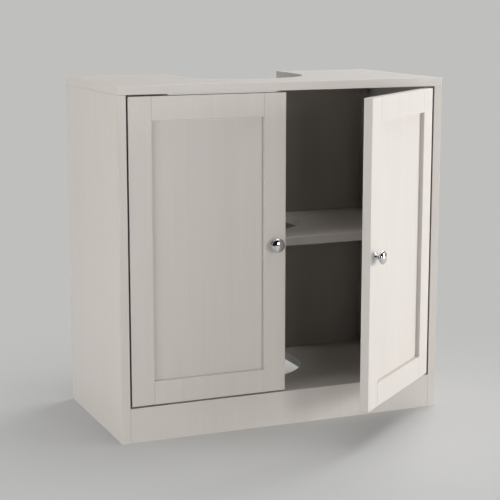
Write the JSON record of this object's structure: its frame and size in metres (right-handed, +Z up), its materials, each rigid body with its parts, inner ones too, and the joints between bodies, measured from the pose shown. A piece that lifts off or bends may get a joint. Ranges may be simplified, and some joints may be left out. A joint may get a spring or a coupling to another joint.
{
  "type": "sink base cabinet",
  "caption": "Two-door floor cabinet for under a wash basin: inset frame-and-panel doors on concealed hinges, round chrome knobs, one shelf and a U-shaped cut-out at the back for the pedestal.",
  "frame": {"origin": "on the floor, midway along the cabinet, in the plane of its front face", "axes": "+X to the right along the front, +Y from the front face to the back, +Z up"},
  "size_m": [0.6, 0.4883, 0.6],
  "materials": {
    "painted_board": "satin off-white",
    "knob_chrome": "polished",
    "nickel_steel": "nickel-plated",
    "zinc": "die-cast zinc",
    "dowel_wood": "plain beech"
  },
  "bodies": {
    "carcass": {"top_panel": "painted_board", "bottom_panel": "painted_board", "shelf": "painted_board", "plinth_board": "painted_board", "left_side_panel": "painted_board", "right_side_panel": "painted_board", "left_back_board": "painted_board", "right_back_board": "painted_board", "cam_locks": "zinc", "cam_bolts": "zinc", "dowels": "dowel_wood", "shelf_pegs": "nickel_steel", "hinge_arm_pins": "nickel_steel", "hinge_side_screws": "nickel_steel", "left_upper_hinge_arm": "nickel_steel", "left_upper_hinge_plate": "nickel_steel", "left_lower_hinge_arm": "nickel_steel", "left_lower_hinge_plate": "nickel_steel", "right_upper_hinge_arm": "nickel_steel", "right_upper_hinge_plate": "nickel_steel", "right_lower_hinge_arm": "nickel_steel", "right_lower_hinge_plate": "nickel_steel"},
    "left_door": {"left_door_hinge_stile": "painted_board", "left_door_knob_stile": "painted_board", "left_door_top_rail": "painted_board", "left_door_bottom_rail": "painted_board", "left_door_panel": "painted_board", "left_door_knob": "knob_chrome", "left_door_knob_screw": "nickel_steel", "left_upper_hinge_cup": "nickel_steel", "left_lower_hinge_cup": "nickel_steel", "left_hinge_cup_screws": "nickel_steel", "left_hinge_cup_pins": "nickel_steel"},
    "left_arm_links": {"left_upper_hinge_arm_link": "nickel_steel", "left_lower_hinge_arm_link": "nickel_steel"},
    "left_arm_braces": {"left_upper_hinge_arm_brace": "nickel_steel", "left_lower_hinge_arm_brace": "nickel_steel"},
    "left_cup_links": {"left_upper_hinge_cup_link": "nickel_steel", "left_lower_hinge_cup_link": "nickel_steel"},
    "left_cup_braces": {"left_upper_hinge_cup_brace": "nickel_steel", "left_lower_hinge_cup_brace": "nickel_steel"},
    "right_door": {"right_door_hinge_stile": "painted_board", "right_door_knob_stile": "painted_board", "right_door_top_rail": "painted_board", "right_door_bottom_rail": "painted_board", "right_door_panel": "painted_board", "right_door_knob": "knob_chrome", "right_door_knob_screw": "nickel_steel", "right_upper_hinge_cup": "nickel_steel", "right_lower_hinge_cup": "nickel_steel", "right_hinge_cup_screws": "nickel_steel", "right_hinge_cup_pins": "nickel_steel"},
    "right_arm_links": {"right_upper_hinge_arm_link": "nickel_steel", "right_lower_hinge_arm_link": "nickel_steel"},
    "right_arm_braces": {"right_upper_hinge_arm_brace": "nickel_steel", "right_lower_hinge_arm_brace": "nickel_steel"},
    "right_cup_links": {"right_upper_hinge_cup_link": "nickel_steel", "right_lower_hinge_cup_link": "nickel_steel"},
    "right_cup_braces": {"right_upper_hinge_cup_brace": "nickel_steel", "right_lower_hinge_cup_brace": "nickel_steel"}
  },
  "joints": [
    {"name": "left_door_hinge", "type": "hinge", "parent": "carcass", "child": "left_door", "pos_m": [-0.282, 0, 0.3225], "axis": [0, 0, -1], "range_deg": [0, 105]},
    {"name": "left_arm_links_swing", "type": "hinge", "parent": "carcass", "child": "left_arm_links", "pos_m": [-0.273, 0.024, 0.3225], "axis": [0, 0, -1], "range_deg": [0, 105]},
    {"name": "left_arm_braces_swing", "type": "hinge", "parent": "carcass", "child": "left_arm_braces", "pos_m": [-0.2715, 0.033, 0.3225], "axis": [0, 0, -1], "range_deg": [0, 105]},
    {"name": "left_cup_links_swing", "type": "hinge", "parent": "left_door", "child": "left_cup_links", "pos_m": [-0.2725, 0.0082, 0.3225], "axis": [0, 0, -1], "range_deg": [-105, 0]},
    {"name": "left_cup_braces_swing", "type": "hinge", "parent": "left_door", "child": "left_cup_braces", "pos_m": [-0.2674, 0.0114, 0.3225], "axis": [0, 0, -1], "range_deg": [-105, 0]},
    {"name": "right_door_hinge", "type": "hinge", "parent": "carcass", "child": "right_door", "pos_m": [0.282, 0, 0.3225], "axis": [0, 0, 1], "range_deg": [-40.2, 64.8]},
    {"name": "right_arm_links_swing", "type": "hinge", "parent": "carcass", "child": "right_arm_links", "pos_m": [0.273, 0.024, 0.3225], "axis": [0, 0, 1], "range_deg": [-40.2, 64.8]},
    {"name": "right_arm_braces_swing", "type": "hinge", "parent": "carcass", "child": "right_arm_braces", "pos_m": [0.2715, 0.033, 0.3225], "axis": [0, 0, 1], "range_deg": [-40.2, 64.8]},
    {"name": "right_cup_links_swing", "type": "hinge", "parent": "right_door", "child": "right_cup_links", "pos_m": [0.26945, 0.00013, 0.3225], "axis": [0, 0, 1], "range_deg": [-64.8, 40.2]},
    {"name": "right_cup_braces_swing", "type": "hinge", "parent": "right_door", "child": "right_cup_braces", "pos_m": [0.26349, -0.00072, 0.3225], "axis": [0, 0, 1], "range_deg": [-64.8, 40.2]}
  ],
  "couplings": [
    {"joint": "left_arm_links_swing", "follows": "left_door_hinge", "ratio": 1},
    {"joint": "left_arm_braces_swing", "follows": "left_door_hinge", "ratio": 1},
    {"joint": "left_cup_links_swing", "follows": "left_door_hinge", "ratio": -1},
    {"joint": "left_cup_braces_swing", "follows": "left_door_hinge", "ratio": -1},
    {"joint": "right_arm_links_swing", "follows": "right_door_hinge", "ratio": 1},
    {"joint": "right_arm_braces_swing", "follows": "right_door_hinge", "ratio": 1},
    {"joint": "right_cup_links_swing", "follows": "right_door_hinge", "ratio": -1},
    {"joint": "right_cup_braces_swing", "follows": "right_door_hinge", "ratio": -1}
  ]
}
